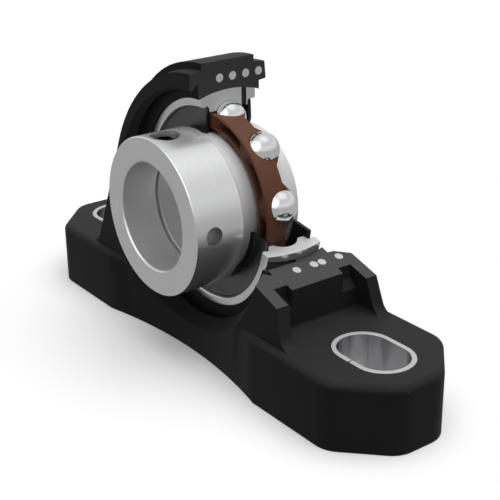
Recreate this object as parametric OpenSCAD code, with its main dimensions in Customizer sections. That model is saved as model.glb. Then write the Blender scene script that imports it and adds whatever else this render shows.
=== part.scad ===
// Pillow block bearing: a moulded plastic housing on two slotted feet, with a
// self-aligning ball bearing in a spherical seat and an eccentric locking collar.
// A quarter of the housing, outer ring and seals is cut away to show the inside.
// Sizes in mm. Z = 0 is the underside of the feet, Y = 0 the middle of the ball row,
// the shaft runs along Y and the collar side faces -Y.

/* [Housing] */
// Height of the shaft axis above the underside
axis_h = 42.9; // [42.5:0.1:44]
// Distance between the two bolt slots
bolt_spacing = 121; // [119:0.5:124]
// Width of the feet across the shaft direction
foot_w = 40; // [38:0.5:44]
// Thickness of the feet
foot_t = 18.8; // [16:0.2:20]
// Length of each foot beyond the middle of its slot
foot_end = 18.3; // [17:0.1:21]
// Depth of the hollow in the middle of the front and rear faces
waist = 4.4; // [3:0.1:5]
// Half the length of that hollow
waist_x = 36.5; // [34:0.5:38]
// Radius of the rounded top of the front and rear walls
wall_r = 36.8; // [36.4:0.1:37.6]
// Thickness of the front and rear walls
wall_t = 3.7; // [3:0.1:4.5]
// Lean of those walls toward the middle, degrees
wall_lean = 5.1; // [3:0.1:6]
// Fillet round the floor of the pockets between the walls
pocket_fillet = 1.3; // [0.8:0.1:1.6]
// Half width over the walls at their rounded top
wall_top_y = 12.35; // [12:0.05:13]
// Radius of the hub between the walls
hub_r = 39.1; // [38.6:0.1:40]
// Width of the hub
hub_w = 17.3; // [16:0.1:18]

/* [Slots and sleeves] */
// Inner width of a sleeve
slot_w = 14.1; // [12:0.1:15]
// Inner length of a sleeve
slot_l = 20.9; // [18:0.1:24]
// Wall thickness of a sleeve
sleeve_t = 1.45; // [1:0.05:2]

/* [Support wires] */
// Wire thickness
wire_d = 2.35; // [1.5:0.05:2.6]
// Radius of the wire turns
wire_r = 34.4; // [34:0.1:35]

/* [Bearing] */
// Shaft diameter
bore_d = 30; // [29:0.1:30]
// Diameter of the ball row
pitch_d = 46; // [45.8:0.1:46.2]
// Ball diameter
ball_d = 9.525; // [9.3:0.025:9.6]
// Number of balls
ball_count = 9; // [7:1:9]
// Angle of the first ball above the right-hand side
ball_angle = 49.5; // [40:0.5:60]
// Diameter of the spherical outside
ring_d = 62; // [61.6:0.1:62.4]
// Width of the outer ring
ring_w = 18; // [17.6:0.1:18.2]
// Diameter of the shoulders of the inner ring
land_d = 39.3; // [38.8:0.1:39.6]

/* [Cage] */
// Inner radius
cage_in = 21; // [20.8:0.1:21.4]
// Outer radius
cage_out = 25; // [24.6:0.1:25.2]
// Thickness of its inner and outer walls
cage_wall = 0.7; // [0.5:0.05:0.9]
// Thickness of the shells round the balls
shell_t = 1.2; // [1.15:0.05:1.3]

/* [Seals] */
// Inner radius of the washer of the front seal
plate_in = 21.5; // [21:0.1:23]
// Its outer radius
plate_out = 26.9; // [26.5:0.1:26.9]
// Its thickness
plate_t = 0.55; // [0.4:0.05:0.6]

/* [Locking collar] */
// Outside diameter
collar_d = 44; // [43:0.1:46]
// Length
collar_l = 15.2; // [14.8:0.1:16]
// Set screw diameter
screw_d = 8; // [6:0.5:8]
// Offset of the locking cam from the shaft axis
cam_offset = 0.8; // [0.4:0.1:1]

/* [Cut-away] */
// Where the housing is cut on the right, degrees below level
cut_housing = 18; // [15:1:20]
// Where the outer ring is cut
cut_ring = 13; // [10:1:14]
// Where the seals are cut
cut_seal = 8; // [5:1:9]

/* [Hidden] */
$fn = 96;

// Clearances: ring in seat, balls in grooves, balls in the cage, seal lips on
// the inner ring, screw in its hole, cam in collar
seat_gap = 0.04;
race_gap = 0.05;
pocket_gap = 0.1;
lip_gap = 0.02;
screw_gap = 0.05;
cam_gap = 0.25;

plastic = [0.16, 0.16, 0.17];
steel = [0.78, 0.79, 0.81];
brown = [0.44, 0.27, 0.19];
rubber = [0.06, 0.06, 0.06];

pitch_r = pitch_d / 2;
ball_r = ball_d / 2;
ring_r = ring_d / 2;
bore_r = bore_d / 2;
land_r = land_d / 2;
collar_r = collar_d / 2;

// Positions along the shaft
ring_end = ring_w / 2;
collar_front = -26.4;
collar_rear = collar_front + collar_l;
recess_floor = collar_rear - 4.2;
nose_front = recess_floor + 1.2;
screw_y = (collar_front + recess_floor) / 2;

// Groove radius and the radii its centre circle runs on, so that the balls
// keep race_gap at the bottom of both grooves
groove_r = ball_r * 1.04;
outer_groove_r = pitch_r + ball_r + race_gap - groove_r;
inner_groove_r = pitch_r - ball_r - race_gap + groove_r;

// Sleeve half lengths and radii
slot_r = slot_w / 2;
slot_half = (slot_l - slot_w) / 2;
sleeve_r = slot_r + sleeve_t;

// Turns a shape drawn flat, with Y up, into one that stands across the shaft axis
module across(y0, y1) {
    translate([0, y1, axis_h])
        rotate([90, 0, 0])
            linear_extrude(y1 - y0)
                children();
}

// Turns a profile drawn as [radius, position along the shaft] about the shaft axis
module around() {
    translate([0, 0, axis_h])
        rotate([-90, 0, 0])
            rotate_extrude()
                children();
}

// Round bar along the shaft axis
module bar(r, y0, y1) {
    translate([0, y0, axis_h])
        rotate([-90, 0, 0])
            cylinder(r = r, h = y1 - y0);
}

// The part of space above the shaft and to the right that is cut away,
// down to an angle below level
module cut_away(angle) {
    reach = bolt_spacing / 2;
    across(-reach, reach)
        polygon([
            [0, 0],
            [reach, -reach * tan(angle)],
            [reach, 2 * wall_r],
            [0, 2 * wall_r]
        ]);
}

// Housing

// Corner radius of the feet in plan, and the round along their top edge
foot_corner = 8;
foot_half = bolt_spacing / 2 + foot_end;
foot_edge = 1.9;

// Neighbouring rounds cross by this much, so that no two surfaces just touch
hair = 0.002;
foot_half_w = foot_w / 2;
hollow_r = (waist_x * waist_x + waist * waist) / (2 * waist);

// Middle points of the two corner rounds at the front right of a foot
corner_a = [foot_half - 16.8, foot_half_w - foot_corner];
corner_b = [foot_half - foot_corner, foot_half_w - 16.6];

// Section of the base from an inner line to its side, with the rounded top edge;
// it is drawn too tall at both ends, and base_block() levels all of it at once
module base_section(inner, out) {
    difference() {
        translate([inner, -1])
            square([out - inner, foot_t + 2]);
        translate([out - foot_edge + hair, foot_t - foot_edge + hair])
            difference() {
                square(foot_edge + 2);
                circle(r = foot_edge);
            }
    }
}

// Straight length of foot with one rounded edge, a hair inside the corners it joins
module edge_bar(depth, out, run) {
    rotate([90, 0, 0])
        translate([0, 0, -run])
            linear_extrude(run)
                base_section(out - depth, out - hair);
}

module corner_round(c) {
    translate([c[0], c[1], 0])
        rotate_extrude()
            base_section(0, foot_corner);
}

// A quarter of the base: half of the foot on the right, from the middle to its end
module foot_quarter() {
    slant = corner_b - corner_a;
    turn = atan2(slant[1], slant[0]);
    corner_round(corner_a);
    corner_round(corner_b);
    translate([corner_a[0], corner_a[1], 0])
        rotate([0, 0, turn + 90])
            mirror([0, 1, 0])
                edge_bar(foot_corner + 7, foot_corner, norm(slant));
    edge_bar(foot_half, foot_half, corner_b[1]);
    translate([corner_a[0], 0, 0])
        rotate([0, 0, 90])
            edge_bar(foot_half_w, foot_half_w, corner_a[0]);
}

// Feet and base in one block, less the hollow front and rear faces
module base_block() {
    difference() {
        intersection() {
            translate([-foot_half - 1, -foot_half_w - 1, 0])
                cube([2 * foot_half + 2, foot_w + 2, foot_t]);
            for (mx = [0, 1], my = [0, 1])
                mirror([mx, 0, 0])
                    mirror([0, my, 0])
                        foot_quarter();
        }
        for (side = [-1, 1])
            translate([0, side * (foot_half_w - waist + hollow_r), 0])
                rotate_extrude($fn = 360) {
                    translate([0, -1])
                        square([hollow_r, foot_t + 2]);
                    difference() {
                        translate([hollow_r - 1, foot_t - foot_edge + hair])
                            square([foot_edge + 1 - hair, foot_edge + 1]);
                        translate([hollow_r + foot_edge - hair, foot_t - foot_edge + hair])
                            circle(r = foot_edge);
                    }
                }
    }
}

// Concave round at the foot of something upright: x is where it stands, tilt is how
// far it leans from the upright, seen with its open side at +X
module foot_round(x, f, tilt = 0) {
    low = foot_t - axis_h;
    reach = f * tan((90 - tilt) / 2);
    difference() {
        polygon([
            [x - 2, low - 1],
            [x + reach, low - 1],
            [x + reach, low],
            [x - reach * sin(tilt), low + reach * cos(tilt)],
            [x - 2 - reach * sin(tilt), low + reach * cos(tilt)]
        ]);
        translate([x + reach, low + f])
            circle(r = f);
    }
}

// Front view of a wall: a round top with two flanks that stand on the feet
module wall_outline() {
    low = foot_t - axis_h;
    flank = 17;
    foot_fillet = 4.2;
    r = wall_r;
    tx = r * cos(flank);
    ty = r * sin(flank);
    x_low = (r - low * sin(flank)) / cos(flank);
    circle(r = r, $fn = 180);
    polygon([
        [-tx, ty], [-x_low, low], [-x_low, low - 4],
        [x_low, low - 4], [x_low, low], [tx, ty]
    ]);
    for (side = [0, 1])
        mirror([side, 0])
            foot_round(x_low, foot_fillet, flank);
}

// Half width of the housing over its walls at a height
function wall_y(z) = wall_top_y + (axis_h + wall_r - z) * tan(wall_lean);

// Side view of what stands between two leaning faces, from a height upward
module lean_outline(inset, low) {
    high = axis_h + wall_r + 8;
    y_low = wall_y(low) - inset;
    y_high = wall_y(high) - inset;
    polygon([[-y_low, low], [y_low, low], [y_high, high], [-y_high, high]]);
}

// Side view of the space between the walls, rounded along its floor
module pocket_outline() {
    f = pocket_fillet;
    side_y = wall_y(foot_t) - wall_t;
    mid_y = side_y - f * tan(wall_lean) - f / cos(wall_lean);
    edge_z = foot_t + f + f * sin(wall_lean);
    difference() {
        lean_outline(wall_t, foot_t);
        for (side = [-1, 1])
            difference() {
                polygon([
                    [side * mid_y, foot_t - 1], [side * (side_y + 1), foot_t - 1],
                    [side * (side_y + 1), edge_z],
                    [side * (mid_y + f * cos(wall_lean)), edge_z],
                    [side * mid_y, foot_t + f]
                ]);
                translate([side * mid_y, foot_t + f])
                    circle(r = f);
            }
    }
}

// Stretches a side view from end to end of the housing
module lengthwise() {
    translate([-bolt_spacing / 2, 0, 0])
        rotate([90, 0, 90])
            linear_extrude(bolt_spacing)
                children();
}

// Front view of the hub: round on top, straight down to the feet
module hub_outline() {
    half_x = hub_r - 0.5;
    low = foot_t - axis_h - 3;
    circle(r = hub_r, $fn = 180);
    translate([-half_x, low])
        square([2 * half_x, -low]);
    for (side = [0, 1])
        mirror([side, 0])
            foot_round(half_x, pocket_fillet);
}

// Lips beside the hub, which lie lower than it: they rise from the walls to the hub
module lip_crown() {
    around()
        polygon([
            [0, -20], [wall_r - 0.05, -20], [wall_r - 0.05, -12.1], [wall_r + 0.4, -9.1],
            [wall_r + 0.4, 9.1], [wall_r - 0.05, 12.1], [wall_r - 0.05, 20], [0, 20]
        ]);
}

// Front view of the lips above the feet, where they widen to the hub
module lip_outline() {
    half_x = hub_r - 0.5;
    low = foot_t - axis_h;
    polygon([
        [-half_x, low - 3], [half_x, low - 3], [half_x, low + 6], [wall_r - 0.3, low + 8.5],
        [wall_r - 0.3, 0], [0.3 - wall_r, 0], [0.3 - wall_r, low + 8.5], [-half_x, low + 6]
    ]);
    for (side = [0, 1])
        mirror([side, 0])
            foot_round(half_x, pocket_fillet);
}

// Everything that is removed around the shaft axis: both flared openings, the lips,
// the grooves behind them and the spherical seat
module seat_space() {
    around()
        polygon([
            [0, -30], [43.9, -30], [32.6, -12.4], [32.1, -11.9],
            [33.3, -10.7], [33.5, -9.8], [26, -9.8], [26, 10.4],
            [31.7, 10.4], [31.9, 12.4], [43.2, 30], [0, 30]
        ]);
    intersection() {
        translate([0, 0, axis_h])
            sphere(r = ring_r + seat_gap, $fn = 180);
        bar(40, -9.8, 10.4);
    }
    // Filling slots left and right, from the front to the middle of the seat
    intersection() {
        bar(ring_r + 0.5, -12, 0);
        translate([-50, -20, axis_h - 10.4])
            cube([100, 40, 20.8]);
    }
}

module wire(y_top, y_side) {
    slope = atan((y_side - y_top) / (wire_r * cos(cut_housing)));
    translate([0, y_top, axis_h])
        rotate([0, 0, slope])
            rotate([90, 0, 0])
                rotate_extrude()
                    translate([wire_r, 0])
                        circle(d = wire_d, $fn = 48);
}

// Position of each turn along the shaft at the top cut and at the side cut
wire_y = [[-2.8, -2.3], [1.5, 3.6], [5.9, 6.3], [10.3, 12.3]];

module wire_turn(i) {
    color(steel)
        difference() {
            wire(wire_y[i][0], wire_y[i][1]);
            cut_away(cut_housing);
        }
}

// Stadium bar upright at one bolt slot
module slot_bar(side, r, z0, z1) {
    translate([side * bolt_spacing / 2, 0, z0]) {
        for (end = [-1, 1])
            translate([end * slot_half, 0, 0])
                cylinder(r = r, h = z1 - z0);
        translate([-slot_half, -r, 0])
            cube([2 * slot_half, 2 * r, z1 - z0]);
    }
}

module housing() {
    color(plastic)
        difference() {
            union() {
                base_block();
                // Front and rear walls with the open pockets between them
                intersection() {
                    across(-foot_half_w, foot_half_w)
                        wall_outline();
                    lengthwise()
                        difference() {
                            lean_outline(0, foot_t - 4);
                            pocket_outline();
                        }
                }
                // Lips and hub that join the walls
                intersection() {
                    lengthwise()
                        lean_outline(0, foot_t - 4);
                    union() {
                        lip_crown();
                        across(-foot_half_w, foot_half_w)
                            lip_outline();
                    }
                }
                across(-hub_w / 2, hub_w / 2)
                    hub_outline();
            }
            // Keeps the faces of the walls inside the hollow faces of the base
            waist_cut();
            seat_space();
            for (i = [0 : 3])
                wire(wire_y[i][0], wire_y[i][1]);
            for (side = [-1, 1])
                slot_bar(side, sleeve_r, -1, foot_t + 1);
            cut_away(cut_housing);
        }
}

module waist_cut() {
    for (side = [-1, 1])
        translate([0, side * (foot_half_w - waist + hollow_r), -1])
            cylinder(r = hollow_r, h = 100, $fn = 360);
}

module bolt_sleeve(side) {
    seam = 0.35;
    color(steel)
        difference() {
            slot_bar(side, sleeve_r, 0, foot_t + 0.15);
            slot_bar(side, slot_r, -1, foot_t + 1);
            translate([side * bolt_spacing / 2 - seam / 2, -sleeve_r - 1, -1])
                cube([seam, sleeve_t + 2, foot_t + 3]);
        }
}

// Outer ring and seals: the grooves that hold the seals are the same on both sides
seal_seat_r = plate_out + 0.1;
groove_floor_r = seal_seat_r + 0.3;
land_out_r = cage_out + 0.5;
plate_y = 7.55;
rubber_y = plate_y - 1;

module outer_ring() {
    // One half of the opening, as [radius, distance from the ball row]
    half = [
        [0, ring_end + 1], [groove_floor_r, ring_end + 1], [groove_floor_r, plate_y + 1.2],
        [seal_seat_r, plate_y + 0.9], [seal_seat_r, plate_y],
        [groove_floor_r, plate_y - 0.2], [groove_floor_r, plate_y - 0.5],
        [seal_seat_r - 0.4, rubber_y - 0.1], [land_out_r, rubber_y - 0.2]
    ];
    color(steel)
        difference() {
            intersection() {
                translate([0, 0, axis_h])
                    sphere(r = ring_r, $fn = 180);
                bar(ring_r, -ring_end, ring_end);
            }
            around()
                polygon([
                    for (side = [-1, 1])
                        for (q = side < 0 ? half : [for (k = [len(half) - 1 : -1 : 0]) half[k]])
                            [q[0], side * q[1]]
                ]);
            around()
                translate([outer_groove_r, 0])
                    circle(r = groove_r);
            // Lubrication hole at the top
            translate([0, 5.2, axis_h])
                cylinder(d = 1.6, h = 40, $fn = 48);
            cut_away(cut_ring);
        }
}

module front_seal_plate() {
    color(steel)
        difference() {
            around()
                translate([plate_in, -plate_y])
                    square([plate_out - plate_in, plate_t]);
            cut_away(cut_seal);
        }
}

module front_seal_rubber() {
    color(rubber)
        difference() {
            around()
                polygon([
                    [land_r + lip_gap, 0.1 - plate_y], [land_r + 0.55, 0.25 - plate_y],
                    [plate_in - 0.2, 0.25 - plate_y], [plate_in - 0.2, plate_t - plate_y],
                    [seal_seat_r + 0.2, plate_t - plate_y], [seal_seat_r - 0.5, -rubber_y],
                    [plate_in - 0.6, -rubber_y], [land_r + 0.3, -rubber_y - 0.35],
                    [land_r + lip_gap, -rubber_y - 0.55]
                ]);
            cut_away(cut_seal);
        }
}

module rear_seal() {
    color(rubber)
        difference() {
            around()
                polygon([
                    [land_r + lip_gap, plate_y - 0.05], [land_r + lip_gap, plate_y - 0.45],
                    [land_r + 0.3, rubber_y + 0.15], [plate_in - 0.6, rubber_y - 0.05],
                    [seal_seat_r - 0.5, rubber_y - 0.05], [seal_seat_r + 0.2, plate_y - 0.5],
                    [plate_out, plate_y], [plate_in, plate_y + 0.15],
                    [land_r + 0.55, plate_y - 0.25]
                ]);
            cut_away(cut_seal);
        }
}

// Balls and cage

// Puts a child at the given angle round the ball row
module at_ball(i) {
    translate([0, 0, axis_h])
        rotate([0, -(ball_angle + i * 360 / ball_count), 0])
            translate([pitch_r, 0, 0])
                children();
}

module ball(i) {
    color(steel)
        at_ball(i)
            sphere(r = ball_r, $fn = 96);
}

// Front face of the cage, tips of its horns, and the flats between them, as
// places along the shaft; thickness of the web behind those flats
cage_front = -6;
horn_y = 2.95;
flat_y = 0.6;
web_t = 1.5;

// Snap cage: open channels at the front, shells round the balls and horns at the rear
module cage() {
    pocket_r = ball_r + pocket_gap;
    half_step = 180 / ball_count;
    flat_half = cage_out * tan(5.3);
    tip_half = cage_out * tan(half_step - 9.3);
    color(brown)
        difference() {
            around()
                polygon([
                    [cage_in, cage_front], [cage_out - 0.35, cage_front],
                    [cage_out, cage_front + 0.35], [cage_out, horn_y], [cage_in, horn_y]
                ]);
            // Channel between the inner and the outer wall, stopped by the shells
            difference() {
                around()
                    translate([cage_in + cage_wall, cage_front - 1])
                        square([cage_out - cage_in - 2 * cage_wall, flat_y - web_t - cage_front + 1]);
                for (i = [0 : ball_count - 1])
                    at_ball(i)
                        sphere(r = pocket_r + shell_t, $fn = 96);
            }
            for (i = [0 : ball_count - 1]) {
                at_ball(i)
                    sphere(r = pocket_r, $fn = 96);
                // Gap between the horns of two neighbouring pockets
                at_ball(i + 0.5)
                    translate([-pitch_r + cage_in - 2, 0, 0])
                        rotate([90, 0, 90])
                            linear_extrude(cage_out - cage_in + 4)
                                polygon([
                                    [flat_y, -flat_half], [horn_y + 1, -tip_half - 2],
                                    [horn_y + 1, tip_half + 2], [flat_y, flat_half]
                                ]);
            }
        }
}

// Inner ring, collar and set screw

// Cam on the nose of the inner ring; the collar has a recess of the same shape
nose_r = 17.5;

module cam_bar(r, y0, y1) {
    translate([0, 0, cam_offset])
        bar(r, y0, y1);
}

module inner_ring() {
    color(steel)
        difference() {
            union() {
                around()
                    polygon([
                        [0, collar_rear + 0.3], [land_r, collar_rear + 0.3],
                        [land_r, ring_end - 0.4], [land_r - 0.4, ring_end], [0, ring_end]
                    ]);
                cam_bar(nose_r, nose_front, collar_rear + 0.4);
            }
            around()
                translate([inner_groove_r, 0])
                    circle(r = groove_r);
            around()
                polygon([
                    [0, nose_front - 1], [bore_r + 1.3, nose_front - 1],
                    [bore_r, nose_front + 0.3], [bore_r, ring_end - 0.5],
                    [bore_r + 1.5, ring_end + 1], [0, ring_end + 1]
                ]);
        }
}

module locking_collar() {
    edge = 0.3;
    bore_edge = 0.4;
    color(steel)
        difference() {
            around()
                polygon([
                    [bore_r + bore_edge, collar_front], [collar_r - edge, collar_front],
                    [collar_r, collar_front + edge], [collar_r, collar_rear - edge],
                    [collar_r - edge, collar_rear], [bore_r, collar_rear],
                    [bore_r, collar_front + bore_edge]
                ]);
            cam_bar(nose_r + cam_gap, recess_floor, collar_rear + 1);
            // Threaded hole for the set screw
            translate([0, screw_y, axis_h + bore_r - 2])
                cylinder(r = screw_d / 2 + screw_gap, h = 12);
            // Blind hole for a hook spanner
            translate([collar_r - 3, screw_y, axis_h])
                rotate([0, 90, 0])
                    cylinder(d = 5, h = 6);
        }
}

module set_screw() {
    tip = bore_r + 0.4;
    top = collar_r - 1.1;
    socket = 4;
    color(rubber)
        translate([0, screw_y, axis_h])
            difference() {
                rotate_extrude()
                    polygon([
                        [0, tip + 0.5], [1.8, tip], [screw_d / 2 - 0.9, tip],
                        [screw_d / 2, tip + 0.9], [screw_d / 2, top - 0.4],
                        [screw_d / 2 - 0.4, top], [0, top]
                    ]);
                translate([0, 0, top - 3])
                    cylinder(d = socket / cos(30), h = 4, $fn = 6);
            }
}

housing();
bolt_sleeve(-1);  // bolt_sleeve_left
bolt_sleeve(1);  // bolt_sleeve_right
wire_turn(0);  // wire_turn_1
wire_turn(1);  // wire_turn_2
wire_turn(2);  // wire_turn_3
wire_turn(3);  // wire_turn_4
outer_ring();
front_seal_plate();
front_seal_rubber();
rear_seal();
cage();
ball(0);  // ball_1
ball(1);  // ball_2
ball(2);  // ball_3
ball(3);  // ball_4
ball(4);  // ball_5
ball(5);  // ball_6
ball(6);  // ball_7
ball(7);  // ball_8
ball(8);  // ball_9
inner_ring();
locking_collar();
set_screw();
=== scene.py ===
import math
import bmesh
import bpy
from mathutils import Matrix, Vector


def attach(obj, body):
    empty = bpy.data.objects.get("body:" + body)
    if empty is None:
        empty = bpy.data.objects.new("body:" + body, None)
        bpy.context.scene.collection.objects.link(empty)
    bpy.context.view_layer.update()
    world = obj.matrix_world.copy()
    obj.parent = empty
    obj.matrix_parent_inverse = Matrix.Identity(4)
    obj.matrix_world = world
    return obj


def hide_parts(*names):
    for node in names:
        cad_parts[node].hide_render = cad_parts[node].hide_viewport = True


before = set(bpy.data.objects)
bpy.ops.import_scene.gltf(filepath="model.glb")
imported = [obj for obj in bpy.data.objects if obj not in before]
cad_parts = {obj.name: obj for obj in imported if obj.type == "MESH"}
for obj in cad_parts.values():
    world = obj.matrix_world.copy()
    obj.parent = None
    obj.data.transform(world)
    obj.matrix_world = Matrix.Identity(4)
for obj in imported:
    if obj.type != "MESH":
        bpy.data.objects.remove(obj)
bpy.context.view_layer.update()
scene = bpy.context.scene

# Camera, floor and studio light
# The unit stands on a pale floor and is seen from the front right, a little from above. A broad
# soft light comes from above, and steel mirrors the pale walls and the floor.
azimuth = math.radians(53.476)
height = math.radians(22.895)
tilt = math.radians(-0.649)
look = Vector((
    -math.sin(azimuth) * math.cos(height), math.cos(azimuth) * math.cos(height), -math.sin(height)))
side = Vector((math.cos(azimuth), math.sin(azimuth), 0.0))
up = side.cross(look)
turned_side = side * math.cos(tilt) + up * math.sin(tilt)
turned_up = up * math.cos(tilt) - side * math.sin(tilt)
camera = bpy.data.objects.new("camera", bpy.data.cameras.new("camera"))
scene.collection.objects.link(camera)
camera.matrix_world = Matrix((
    (turned_side.x, turned_up.x, -look.x, 0.24485),
    (turned_side.y, turned_up.y, -look.y, -0.17464),
    (turned_side.z, turned_up.z, -look.z, 0.15338),
    (0, 0, 0, 1)))
camera.data.lens = 81.906
camera.data.sensor_width = 36
camera.data.clip_start = 0.01
camera.data.clip_end = 20
scene.camera = camera
scene.view_settings.view_transform = "Standard"


def new_material(name):
    """An empty material with its output; returns the material, a node maker and a link maker."""
    material = bpy.data.materials.new(name)
    material.use_nodes = True
    tree = material.node_tree
    tree.nodes.clear()

    def add(kind, **values):
        node = tree.nodes.new(kind)
        for key, value in values.items():
            setattr(node, key, value)
        return node

    return material, add, tree.links.new


floor_paint, add, link = new_material("floor_paint")
sees = add("ShaderNodeLightPath")
dull = add("ShaderNodeBsdfDiffuse")
dull.inputs["Color"].default_value = (0.14, 0.14, 0.14, 1)
paper = add("ShaderNodeBsdfDiffuse")
paper.inputs["Color"].default_value = (0.88, 0.88, 0.88, 1)
pale = add("ShaderNodeEmission")
pale.inputs["Color"].default_value = (0.22, 0.22, 0.22, 1)
sheet = add("ShaderNodeAddShader")
seen = add("ShaderNodeMixShader")
mirrored = add("ShaderNodeEmission")
mirrored.inputs["Color"].default_value = (0.44, 0.44, 0.44, 1)
blend = add("ShaderNodeMixShader")
glow = add("ShaderNodeMath", operation="MAXIMUM")
out = add("ShaderNodeOutputMaterial")
link(pale.outputs[0], sheet.inputs[0])
link(paper.outputs[0], sheet.inputs[1])
link(sees.outputs["Is Camera Ray"], seen.inputs[0])
link(dull.outputs[0], seen.inputs[1])
link(sheet.outputs[0], seen.inputs[2])
link(sees.outputs["Is Glossy Ray"], glow.inputs[0])
link(sees.outputs["Is Transmission Ray"], glow.inputs[1])
link(glow.outputs[0], blend.inputs[0])
link(seen.outputs[0], blend.inputs[1])
link(mirrored.outputs[0], blend.inputs[2])
link(blend.outputs[0], out.inputs["Surface"])
floor_mesh = bpy.data.meshes.new("floor")
floor_mesh.from_pydata([(-3, -3, 0), (3, -3, 0), (3, 3, 0), (-3, 3, 0)], [], [(0, 1, 2, 3)])
floor = bpy.data.objects.new("floor", floor_mesh)
scene.collection.objects.link(floor)
floor_mesh.materials.append(floor_paint)

world = bpy.data.worlds.new("studio")
scene.world = world
world.use_nodes = True
tree = world.node_tree
tree.nodes.clear()
where = tree.nodes.new("ShaderNodeTexCoord")
split = tree.nodes.new("ShaderNodeSeparateXYZ")
tree.links.new(where.outputs["Generated"], split.inputs[0])
sees = tree.nodes.new("ShaderNodeLightPath")


def sky(levels):
    """Brightness of the studio walls by height: pairs of a height from 0 to 1 and a level."""
    rise = tree.nodes.new("ShaderNodeValToRGB")
    rise.color_ramp.elements.remove(rise.color_ramp.elements[0])
    for step, (place, level) in enumerate(levels):
        stop = rise.color_ramp.elements[0] if step == 0 else rise.color_ramp.elements.new(place)
        stop.position = place
        stop.color = (level, level, level, 1)
    tree.links.new(split.outputs["Z"], rise.inputs[0])
    return rise.outputs[0]


def softbox(direction, width, strength, below):
    """Adds a soft bright patch of the studio in a direction, as wide as an angle, to what is below."""
    towards = tree.nodes.new("ShaderNodeVectorMath")
    towards.operation = "DOT_PRODUCT"
    towards.inputs[1].default_value = Vector(direction).normalized()
    fade = tree.nodes.new("ShaderNodeMapRange")
    fade.interpolation_type = "SMOOTHSTEP"
    fade.inputs["From Min"].default_value = math.cos(math.radians(width))
    fade.inputs["To Max"].default_value = strength
    total = tree.nodes.new("ShaderNodeMath")
    total.operation = "ADD"
    tree.links.new(where.outputs["Generated"], towards.inputs[0])
    tree.links.new(towards.outputs["Value"], fade.inputs["Value"])
    tree.links.new(fade.outputs["Result"], total.inputs[0])
    tree.links.new(below, total.inputs[1])
    return total.outputs[0]


light = sky([(0.0, 0.04), (0.2, 0.06), (1.0, 0.18)])
light = softbox((0.14, 0.05, 1.0), 44, 3.9, light)
mirror = sky([(0.0, 0.55), (0.12, 0.76), (0.40, 0.95), (0.62, 0.80), (1.0, 0.85)])
mirror = softbox((0.1, 0.15, 1.0), 34, 0.35, mirror)
mirror = softbox((0.05, -0.75, 0.48), 44, 0.9, mirror)
grounds = []
for level in (light, mirror):
    ground = tree.nodes.new("ShaderNodeBackground")
    tree.links.new(level, ground.inputs["Strength"])
    grounds.append(ground.outputs[0])
plain = tree.nodes.new("ShaderNodeBackground")
plain.inputs["Color"].default_value = (1, 1, 1, 1)
shiny = tree.nodes.new("ShaderNodeMath")
shiny.operation = "MAXIMUM"
tree.links.new(sees.outputs["Is Glossy Ray"], shiny.inputs[0])
tree.links.new(sees.outputs["Is Transmission Ray"], shiny.inputs[1])
reflected = tree.nodes.new("ShaderNodeMixShader")
tree.links.new(shiny.outputs[0], reflected.inputs[0])
tree.links.new(grounds[0], reflected.inputs[1])
tree.links.new(grounds[1], reflected.inputs[2])
mix = tree.nodes.new("ShaderNodeMixShader")
tree.links.new(sees.outputs["Is Camera Ray"], mix.inputs[0])
tree.links.new(reflected.outputs[0], mix.inputs[1])
tree.links.new(plain.outputs[0], mix.inputs[2])
world_out = tree.nodes.new("ShaderNodeOutputWorld")
tree.links.new(mix.outputs[0], world_out.inputs["Surface"])

# Housing
# One moulding of black glass-fibre plastic: two feet, a waisted base, two thin walls and the hub
# with the spherical seat. Its edges are slightly rounded, as they leave the mould.
mm = 0.001
axis_height = 42.9


def grain_group(name):
    """Fine moulded grain: a colour spread and a bump height at a chosen scale."""
    group = bpy.data.node_groups.new(name, "ShaderNodeTree")
    group.interface.new_socket("Scale", in_out="INPUT", socket_type="NodeSocketFloat")
    group.interface.new_socket("Dark", in_out="INPUT", socket_type="NodeSocketColor")
    group.interface.new_socket("Light", in_out="INPUT", socket_type="NodeSocketColor")
    group.interface.new_socket("Color", in_out="OUTPUT", socket_type="NodeSocketColor")
    group.interface.new_socket("Height", in_out="OUTPUT", socket_type="NodeSocketFloat")
    group.interface.new_socket("Roughness", in_out="OUTPUT", socket_type="NodeSocketFloat")
    nodes, links = group.nodes, group.links
    given = nodes.new("NodeGroupInput")
    result = nodes.new("NodeGroupOutput")
    place = nodes.new("ShaderNodeTexCoord")
    fine = nodes.new("ShaderNodeTexNoise")
    fine.inputs["Detail"].default_value = 3
    fine.inputs["Roughness"].default_value = 0.6
    broad = nodes.new("ShaderNodeTexNoise")
    broad.inputs["Scale"].default_value = 45
    broad.inputs["Detail"].default_value = 2
    spread = nodes.new("ShaderNodeMix")
    spread.data_type = "RGBA"
    sheen = nodes.new("ShaderNodeMapRange")
    sheen.inputs["To Min"].default_value = 0.40
    sheen.inputs["To Max"].default_value = 0.52
    links.new(place.outputs["Object"], fine.inputs["Vector"])
    links.new(place.outputs["Object"], broad.inputs["Vector"])
    links.new(given.outputs["Scale"], fine.inputs["Scale"])
    links.new(broad.outputs["Fac"], spread.inputs["Factor"])
    links.new(given.outputs["Dark"], spread.inputs["A"])
    links.new(given.outputs["Light"], spread.inputs["B"])
    links.new(spread.outputs["Result"], result.inputs["Color"])
    links.new(fine.outputs["Fac"], result.inputs["Height"])
    links.new(broad.outputs["Fac"], sheen.inputs["Value"])
    links.new(sheen.outputs["Result"], result.inputs["Roughness"])
    return group


moulded_grain = grain_group("moulded_grain")


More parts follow.
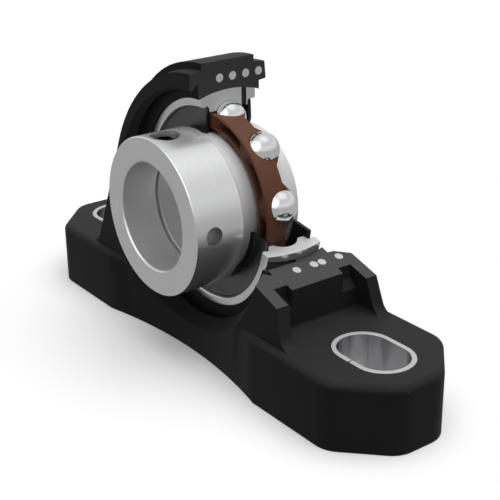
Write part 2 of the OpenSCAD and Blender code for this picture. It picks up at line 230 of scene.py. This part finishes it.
def moulded(name, dark, light, scale, depth, shine):
    """Moulded plastic or rubber with the grain of its tool."""
    material, add, link = new_material(name)
    grain = add("ShaderNodeGroup", node_tree=moulded_grain)
    grain.inputs["Scale"].default_value = scale
    grain.inputs["Dark"].default_value = (*dark, 1)
    grain.inputs["Light"].default_value = (*light, 1)
    skin = add("ShaderNodeBsdfPrincipled")
    skin.inputs["Specular IOR Level"].default_value = shine
    bump = add("ShaderNodeBump")
    bump.inputs["Strength"].default_value = depth
    bump.inputs["Distance"].default_value = 0.0001
    out = add("ShaderNodeOutputMaterial")
    link(grain.outputs["Color"], skin.inputs["Base Color"])
    link(grain.outputs["Roughness"], skin.inputs["Roughness"])
    link(grain.outputs["Height"], bump.inputs["Height"])
    link(bump.outputs["Normal"], skin.inputs["Normal"])
    link(skin.outputs["BSDF"], out.inputs["Surface"])
    return material


black_plastic = moulded("black_plastic", (0.027, 0.027, 0.0275), (0.033, 0.033, 0.0335), 1600, 0.25, 0.05)


def soft_edges(piece, width, angle=32, segments=3):
    """Rounds the sharp edges of a piece and evens out its shading. The width is a size in mm, or a
    rule that gives one from the middle of an edge."""
    sizes = [width]
    if callable(width):
        sizes = sorted({width(*(piece.data.vertices[a].co + piece.data.vertices[b].co) * 500)
                        for a, b in piece.data.edge_keys}, reverse=True)
    work = bmesh.new()
    work.from_mesh(piece.data)
    for size in sizes:
        chosen = [edge for edge in work.edges if edge.calc_face_angle(0) > math.radians(angle)
                  and (not callable(width) or width(*(edge.verts[0].co + edge.verts[1].co) * 500) == size)]
        bmesh.ops.bevel(work, geom=chosen, offset=size * mm, offset_type="OFFSET", segments=segments,
                        profile=0.5, affect="EDGES", clamp_overlap=True)
    for face in work.faces:
        face.smooth = True
    work.to_mesh(piece.data)
    work.free()
    even = piece.modifiers.new("even", "WEIGHTED_NORMAL")
    even.keep_sharp = True
    even.weight = 80


def carried_over(node, name, weld=0.02, flat=0.4):
    """A new piece with the solid's own shape, its facets merged into whole faces."""
    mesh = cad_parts[node].data.copy()
    mesh.name = name
    mesh.materials.clear()
    work = bmesh.new()
    work.from_mesh(mesh)
    bmesh.ops.remove_doubles(work, verts=work.verts, dist=weld * mm)
    bmesh.ops.dissolve_limit(work, angle_limit=math.radians(flat), verts=work.verts, edges=work.edges)
    work.to_mesh(mesh)
    work.free()
    piece = bpy.data.objects.new(name, mesh)
    scene.collection.objects.link(piece)
    return piece


def sawn(x, z, fall):
    """Whether a place lies on the upright cut or on the one that falls to the right by an angle."""
    level = z - axis_height
    upright = abs(x) < 0.02 and level > 0
    falling = x > 0 and abs(level + x * math.tan(math.radians(fall))) < 0.02
    return upright or falling


housing_fall = 18
slot_x = 60.5


def housing_round(x, y, z):
    """Edge radius of the moulding: sawn edges stay crisp, the walls and their pockets are softest."""
    if sawn(x, z, housing_fall):
        return 0.10
    if math.hypot(x, z - axis_height) < 36.2 and z > 1:
        return 0.15
    if abs(abs(x) - slot_x) < 13 and abs(y) < 9.5:
        return 0.12
    if z < 1:
        return 0.35
    if abs(y) < 9:
        return 0.55
    return 0.80


housing = carried_over("housing", "housing_moulding")
sawn_plastic = moulded("sawn_plastic", (0.080, 0.080, 0.0805), (0.090, 0.090, 0.0905), 2200, 0.3, 0.08)
housing.data.materials.append(black_plastic)
housing.data.materials.append(sawn_plastic)
for face in housing.data.polygons:
    if sawn(face.center.x / mm, face.center.z / mm, housing_fall):
        face.material_index = 1
soft_edges(housing, housing_round)
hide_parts("housing")
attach(housing, "housing_body")

# Support wires
# Four turns of round steel wire lie in the plastic round the seat and carry the load. They show
# as bright ground discs where the housing is cut.


def tool_line_group(name):
    """Fine lines from turning or grinding: they run round the shaft axis, spaced by a line pitch."""
    group = bpy.data.node_groups.new(name, "ShaderNodeTree")
    for socket in ("Lines per metre", "Mottle per metre"):
        group.interface.new_socket(socket, in_out="INPUT", socket_type="NodeSocketFloat")
    for socket in ("Lines", "Mottle"):
        group.interface.new_socket(socket, in_out="OUTPUT", socket_type="NodeSocketFloat")
    nodes, links = group.nodes, group.links
    given = nodes.new("NodeGroupInput")
    result = nodes.new("NodeGroupOutput")
    place = nodes.new("ShaderNodeTexCoord")
    middle = nodes.new("ShaderNodeVectorMath")
    middle.operation = "SUBTRACT"
    middle.inputs[1].default_value = (0, 0, axis_height * mm)
    flat = nodes.new("ShaderNodeVectorMath")
    flat.operation = "MULTIPLY"
    flat.inputs[1].default_value = (1, 0, 1)
    radius = nodes.new("ShaderNodeVectorMath")
    radius.operation = "LENGTH"
    split = nodes.new("ShaderNodeSeparateXYZ")
    joined = nodes.new("ShaderNodeCombineXYZ")
    lines = nodes.new("ShaderNodeTexNoise")
    lines.inputs["Detail"].default_value = 3
    mottle = nodes.new("ShaderNodeTexNoise")
    mottle.inputs["Detail"].default_value = 2
    links.new(place.outputs["Object"], middle.inputs[0])
    links.new(middle.outputs[0], flat.inputs[0])
    links.new(flat.outputs[0], radius.inputs[0])
    links.new(place.outputs["Object"], split.inputs[0])
    links.new(radius.outputs["Value"], joined.inputs["X"])
    links.new(split.outputs["Y"], joined.inputs["Y"])
    links.new(joined.outputs[0], lines.inputs["Vector"])
    links.new(given.outputs["Lines per metre"], lines.inputs["Scale"])
    links.new(place.outputs["Object"], mottle.inputs["Vector"])
    links.new(given.outputs["Mottle per metre"], mottle.inputs["Scale"])
    links.new(lines.outputs["Fac"], result.inputs["Lines"])
    links.new(mottle.outputs["Fac"], result.inputs["Mottle"])
    return group


tool_lines = tool_line_group("tool_lines")


def ground_steel(name, colour, rough, pitch, depth, spread=0.10, metallic=1.0):
    """Bare steel with tool lines round the shaft axis; pitch is the number of lines in a metre."""
    material, add, link = new_material(name)
    marks = add("ShaderNodeGroup", node_tree=tool_lines)
    marks.inputs["Lines per metre"].default_value = pitch
    marks.inputs["Mottle per metre"].default_value = 60
    tone = add("ShaderNodeMix", data_type="RGBA")
    tone.inputs["A"].default_value = (*[c * (1 - spread) for c in colour], 1)
    tone.inputs["B"].default_value = (*colour, 1)
    gloss = add("ShaderNodeMapRange")
    gloss.inputs["To Min"].default_value = rough - 0.03
    gloss.inputs["To Max"].default_value = rough + 0.03
    metal = add("ShaderNodeBsdfPrincipled")
    metal.inputs["Metallic"].default_value = metallic
    bump = add("ShaderNodeBump")
    bump.inputs["Strength"].default_value = depth
    bump.inputs["Distance"].default_value = 0.00002
    out = add("ShaderNodeOutputMaterial")
    link(marks.outputs["Lines"], tone.inputs["Factor"])
    link(marks.outputs["Mottle"], gloss.inputs["Value"])
    link(tone.outputs["Result"], metal.inputs["Base Color"])
    link(gloss.outputs["Result"], metal.inputs["Roughness"])
    link(marks.outputs["Lines"], bump.inputs["Height"])
    link(bump.outputs["Normal"], metal.inputs["Normal"])
    link(metal.outputs["BSDF"], out.inputs["Surface"])
    return material


wire_steel = ground_steel("wire_steel", (0.74, 0.745, 0.755), 0.45, 3000, 0.1)
for turn in range(1, 5):
    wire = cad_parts["wire_turn_%d" % turn]
    wire.data.materials.clear()
    wire.data.materials.append(wire_steel)

# Bolt sleeves
# A rolled steel sleeve with an open seam lines each slot and keeps the bolt from crushing the
# plastic. Its inside is smooth and bright, its cut ends are duller.
sleeve_steel = ground_steel("sleeve_steel", (0.66, 0.66, 0.67), 0.16, 900, 0.05)
rim_steel = ground_steel("rim_steel", (0.62, 0.62, 0.63), 0.50, 3000, 0.1, metallic=0.4)


def rolled_sleeve(name, middle):
    """A strip rolled to the shape of the slot, from one side of its seam round to the other."""
    inside, outside, straight, tall, seam = 7.05, 8.5, 3.4, 18.95, 0.35
    stations = [(seam / 2, -90)]
    stations += [(straight, -90 + 180 * step / 36) for step in range(37)]
    stations += [(-straight, 90 + 180 * step / 36) for step in range(37)]
    stations += [(-seam / 2, 270)]
    mesh = bpy.data.meshes.new(name)
    work = bmesh.new()
    sections = []
    for centre, turn in stations:
        across, out = math.cos(math.radians(turn)), math.sin(math.radians(turn))
        sections.append([work.verts.new(((middle + centre + r * across) * mm, r * out * mm, z * mm))
                         for r, z in ((inside, 0), (inside, tall), (outside, tall), (outside, 0))])
    for a, b in zip(sections, sections[1:]):
        for i in range(4):
            work.faces.new((a[i], a[(i + 1) % 4], b[(i + 1) % 4], b[i]))
    work.faces.new(sections[0])
    work.faces.new(list(reversed(sections[-1])))
    bmesh.ops.recalc_face_normals(work, faces=work.faces)
    for face in work.faces:
        face.material_index = 1 if abs(face.normal.z) > 0.9 else 0
    work.to_mesh(mesh)
    work.free()
    mesh.materials.append(sleeve_steel)
    mesh.materials.append(rim_steel)
    piece = bpy.data.objects.new(name, mesh)
    scene.collection.objects.link(piece)
    return piece


for end, middle in (("left", -slot_x), ("right", slot_x)):
    sleeve = rolled_sleeve("rolled_sleeve_" + end, middle)
    soft_edges(sleeve, 0.12, angle=40)
    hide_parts("bolt_sleeve_" + end)
    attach(sleeve, "housing_body")

# Outer ring
# Hardened steel ring with a ground spherical outside that lets it tilt in its seat. A ball groove
# and two seal grooves are turned inside it.


def turned(name, profile, start=0.0, stop=360.0, steps=180):
    """A piece turned about the shaft axis from a closed [radius, place along the shaft] outline. A
    third value lifts a point's circle off the axis, as for a cam."""
    whole = stop - start >= 360
    count = steps if whole else steps + 1
    mesh = bpy.data.meshes.new(name)
    work = bmesh.new()
    rings = []
    for k in range(count):
        angle = math.radians(start + (stop - start) * k / steps)
        ring = [work.verts.new((r * mm * math.cos(angle), y * mm,
                                (axis_height + r * math.sin(angle) + sum(lift)) * mm))
                for r, y, *lift in profile]
        rings.append(ring)
    n = len(profile)
    for k in range(steps):
        a, b = rings[k], rings[(k + 1) % count]
        for i in range(n):
            j = (i + 1) % n
            work.faces.new((a[i], a[j], b[j], b[i]))
    if not whole:
        work.faces.new(rings[0])
        work.faces.new(list(reversed(rings[-1])))
    bmesh.ops.recalc_face_normals(work, faces=work.faces)
    work.to_mesh(mesh)
    work.free()
    piece = bpy.data.objects.new(name, mesh)
    scene.collection.objects.link(piece)
    return piece


def bend(radius, centre, start, stop, steps):
    """Points on an arc of a profile."""
    return [(centre[0] + radius * math.cos(math.radians(start + (stop - start) * i / steps)),
             centre[1] + radius * math.sin(math.radians(start + (stop - start) * i / steps)))
            for i in range(steps + 1)]


def rod(name, radius, low, high, place, direction, steps=64):
    """A round bar, used as a drill; its ends are at two distances along its direction."""
    mesh = bpy.data.meshes.new(name)
    work = bmesh.new()
    turn = Vector(direction).normalized().to_track_quat("Z", "Y").to_matrix()
    ends = []
    for reach in (low, high):
        ends.append([work.verts.new(Vector(place) * mm + turn @ Vector((
            radius * mm * math.cos(2 * math.pi * i / steps),
            radius * mm * math.sin(2 * math.pi * i / steps), reach * mm))) for i in range(steps)])
    for i in range(steps):
        j = (i + 1) % steps
        work.faces.new((ends[0][i], ends[0][j], ends[1][j], ends[1][i]))
    work.faces.new(list(reversed(ends[0])))
    work.faces.new(ends[1])
    work.to_mesh(mesh)
    work.free()
    bar = bpy.data.objects.new(name, mesh)
    scene.collection.objects.link(bar)
    return bar


def drilled(piece, *drills):
    """Cuts the drills out of a piece and takes them away."""
    for drill in drills:
        cut = piece.modifiers.new("drilled", "BOOLEAN")
        cut.operation = "DIFFERENCE"
        cut.solver = "EXACT"
        cut.object = drill
    bpy.context.view_layer.update()
    shape = bpy.data.meshes.new_from_object(piece.evaluated_get(bpy.context.evaluated_depsgraph_get()))
    old = piece.data
    piece.modifiers.clear()
    piece.data = shape
    bpy.data.meshes.remove(old)
    for drill in drills:
        bpy.data.objects.remove(drill)


ring_steel = ground_steel("ring_steel", (0.76, 0.765, 0.775), 0.22, 4000, 0.08)
ball_circle = 23
ball_radius = 4.7625
ball_gap = 0.05
groove = 4.953
outer_groove = ball_circle + ball_radius + ball_gap - groove
outer_land = 25.5
sphere = 31
ring_fall = 13
oil_hole_y = 5.2
oil_hole_radius = 0.8
rear_end = [(29.3, 9.0), (27.3, 9.0), (27.0, 8.7), (27.0, 7.55), (27.3, 7.35), (27.3, 7.05),
            (26.6, 6.45), (outer_land, 6.35)]
half = math.degrees(math.acos((outer_land - outer_groove) / groove))
ring_profile = bend(sphere, (0, 0), -16.6, 16.6, 24) + rear_end
ring_profile += bend(groove, (outer_groove, 0), half, -half, 22)
ring_profile += [(radius, -y) for radius, y in reversed(rear_end)]
ring = turned("ring_outer", ring_profile, 90, 360 - ring_fall, 160)
drilled(ring, rod("drill", oil_hole_radius, 20, 40, (0, oil_hole_y, axis_height), (0, 0, 1), 32))
ring.data.materials.append(ring_steel)
# Near-black steel for the wall of the oil hole: painted shade inside the hole.
oil_hole_painted_shade = ground_steel("oil_hole_painted_shade", (0.05, 0.05, 0.052), 0.5, 2000, 0.3)
ring.data.materials.append(oil_hole_painted_shade)
sawn_steel = ground_steel("sawn_steel", (0.76, 0.765, 0.77), 0.55, 6000, 0.2, metallic=0.5)
ring.data.materials.append(sawn_steel)
# The remaining half of the oil hole's wall is painted near black as shade.
for face in ring.data.polygons:
    x, y, z = face.center / mm
    in_hole = math.hypot(x, y - oil_hole_y) < oil_hole_radius + 0.01
    if in_hole and abs(face.normal.z) < 0.5 and x < -0.01:
        face.material_index = 1
    elif sawn(x, z, ring_fall):
        face.material_index = 2
soft_edges(ring, 0.12, angle=35, segments=2)
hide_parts("outer_ring")
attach(ring, "outer_ring_body")

# Seals
# The front seal is a pressed steel washer with a rubber lip bonded to its inner side. The rear one
# is covered with rubber all over. Both snap into the grooves of the outer ring.
seal_fall = 8
washer_steel = ground_steel("washer_steel", (0.125, 0.122, 0.122), 0.36, 3000, 0.1)
lip_rubber = moulded("lip_rubber", (0.006, 0.006, 0.0065), (0.010, 0.010, 0.0105), 1200, 0.3, 0.25)
washer = turned("seal_washer_front", [
    (21.5, -7.55), (26.9, -7.55), (26.95, -7.5), (26.95, -7.05), (26.9, -7.0),
    (21.5, -7.0)], 90, 360 - seal_fall, 120)
washer.data.materials.append(washer_steel)
soft_edges(washer, 0.08, segments=2)
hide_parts("front_seal_plate")
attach(washer, "outer_ring_body")
lip = turned("seal_lip_front", [
    (19.67, -7.45), (20.2, -7.3), (21.3, -7.3), (21.3, -7.0), (27.2, -7.0), (26.5, -6.55),
    (20.9, -6.55), (19.95, -6.9), (19.67, -7.1)], 90, 360 - seal_fall, 120)
lip.data.materials.append(lip_rubber)
soft_edges(lip, 0.06, segments=2)
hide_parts("front_seal_rubber")
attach(lip, "outer_ring_body")
rear = turned("seal_rear", [
    (19.67, 7.5), (19.67, 7.1), (19.95, 6.7), (20.9, 6.5), (26.5, 6.5), (27.2, 7.05),
    (26.9, 7.55), (21.5, 7.7), (20.2, 7.3)], 90, 360 - seal_fall, 120)
rear.data.materials.append(lip_rubber)
soft_edges(rear, 0.08, segments=2)
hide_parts("rear_seal")
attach(rear, "outer_ring_body")

# Cage
# Moulded brown cage: two thin walls with channels between them, open to the collar side, and round
# shells that hold the balls. The pockets open to the rear, where pointed horns snap over the balls.
cage_plastic = moulded("cage_plastic", (0.145, 0.060, 0.034), (0.180, 0.077, 0.045), 1100, 0.2, 0.15)
cage = carried_over("cage", "cage_moulding", flat=0.2)
cage.data.materials.append(cage_plastic)
soft_edges(cage, 0.12, angle=35, segments=2)
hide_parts("cage")
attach(cage, "cage_body")

# Balls
# Nine polished steel balls, each free to roll in its pocket.
ball_steel = ground_steel("ball_steel", (0.86, 0.865, 0.875), 0.07, 50, 0.0, 0.02)
for number in range(9):
    angle = math.radians(49.5 + 40 * number)
    level = axis_height + ball_circle * math.sin(angle)
    place = (ball_circle * mm * math.cos(angle), 0, level * mm)
    mesh = bpy.data.meshes.new("ball")
    work = bmesh.new()
    bmesh.ops.create_uvsphere(work, u_segments=64, v_segments=40, radius=ball_radius * mm,
                              matrix=Matrix.Translation(place))
    for face in work.faces:
        face.smooth = True
    work.to_mesh(mesh)
    work.free()
    ball = bpy.data.objects.new("polished_ball_%d" % (number + 1), mesh)
    scene.collection.objects.link(ball)
    mesh.materials.append(ball_steel)
    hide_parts("ball_%d" % (number + 1))
    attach(ball, "ball_%d_body" % (number + 1))

# Inner ring
# Hardened steel ring on the shaft. Its nose toward the collar is turned off centre, and the collar
# locks on that cam.
# Nearly white, mostly matt steel: its pale tone is painted reflection, standing in for the bright surround
# that ground steel mirrors.
satin_steel_painted_reflection = ground_steel("satin_steel_painted_reflection", (0.95, 0.95, 0.955), 0.30, 4000, 0.08, metallic=0.15)
inner_groove = ball_circle - ball_radius - ball_gap + groove
inner_land = 19.65
cam_lift = 0.8
cam_radius = 17.5
half = math.degrees(math.acos((inner_groove - inner_land) / groove))
inner = turned("ring_inner", [
    (15.3, -14.2), (cam_radius, -14.2, cam_lift), (cam_radius, -10.9, cam_lift),
    (19.5, -10.9), (inner_land, -10.75)]
    + bend(groove, (inner_groove, 0), 180 + half, 180 - half, 22)
    + [(inner_land, 8.6), (19.25, 9.0), (15.5, 9.0), (15.0, 8.5), (15.0, -13.9)], steps=200)
inner.data.materials.append(satin_steel_painted_reflection)
soft_edges(inner, 0.10, angle=30, segments=2)
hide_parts("inner_ring")
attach(inner, "inner_ring_body")

# Locking collar
# Turned steel collar with a threaded hole for the set screw on top and a blind hole for a hook
# spanner at the side. Its rear recess is off centre and wedges on the cam. The blind hole, the rear
# chamfer and the rear face get a duller steel of darker colour. The darker colour is painted shade
# in the hole and a painted shadow line along the rear chamfer, where the collar meets the ring.
collar_steel = ground_steel("collar_steel", (0.93, 0.935, 0.945), 0.27, 1500, 0.06, 0.12, metallic=0.75)
screw_y = -20.9
recess = cam_radius + 0.25
screw_hole_radius = 4.05
blind_hole_radius = 2.5
blind_hole_floor = 19
rear_chamfer = -11.48
collar = turned("collar_turned", [
    (15.4, -26.4), (21.7, -26.4), (22.0, -26.1), (22.0, -11.5), (21.7, -11.2),
    (recess, -11.2, cam_lift), (recess, -15.4, cam_lift), (15.0, -15.4), (15.0, -26.0)], steps=240)
drilled(collar,
        rod("drill", screw_hole_radius, 12, 30, (0, screw_y, axis_height), (0, 0, 1)),
        rod("drill_side", blind_hole_radius, blind_hole_floor, 30, (0, screw_y, axis_height), (1, 0, 0)))
collar.data.materials.append(collar_steel)
# Darker dull steel: painted shade in the blind hole and a painted shadow line on the rear chamfer.
dull_steel_painted_shade = ground_steel("dull_steel_painted_shade", (0.42, 0.42, 0.43), 0.35, 2000, 0.2)
collar.data.materials.append(dull_steel_painted_shade)
# The blind hole, the rear chamfer and the rear face take the darker steel of painted shade.
for face in collar.data.polygons:
    x, y, z = face.center / mm
    from_hole = math.hypot(y - screw_y, z - axis_height)
    in_hole = x > blind_hole_floor - 0.1 and from_hole < blind_hole_radius + 0.01
    if in_hole or y > rear_chamfer:
        face.material_index = 1
soft_edges(collar, lambda x, y, z: 0.18 if y < -16 else 0.04, angle=35, segments=3)
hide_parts("locking_collar")
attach(collar, "collar_body")

# Set screw
# Blackened socket set screw. It stands a little below the outside of the collar.
black_oxide = ground_steel("black_oxide", (0.035, 0.035, 0.037), 0.36, 2000, 0.2)
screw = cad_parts["set_screw"]
screw.data.materials.clear()
screw.data.materials.append(black_oxide)
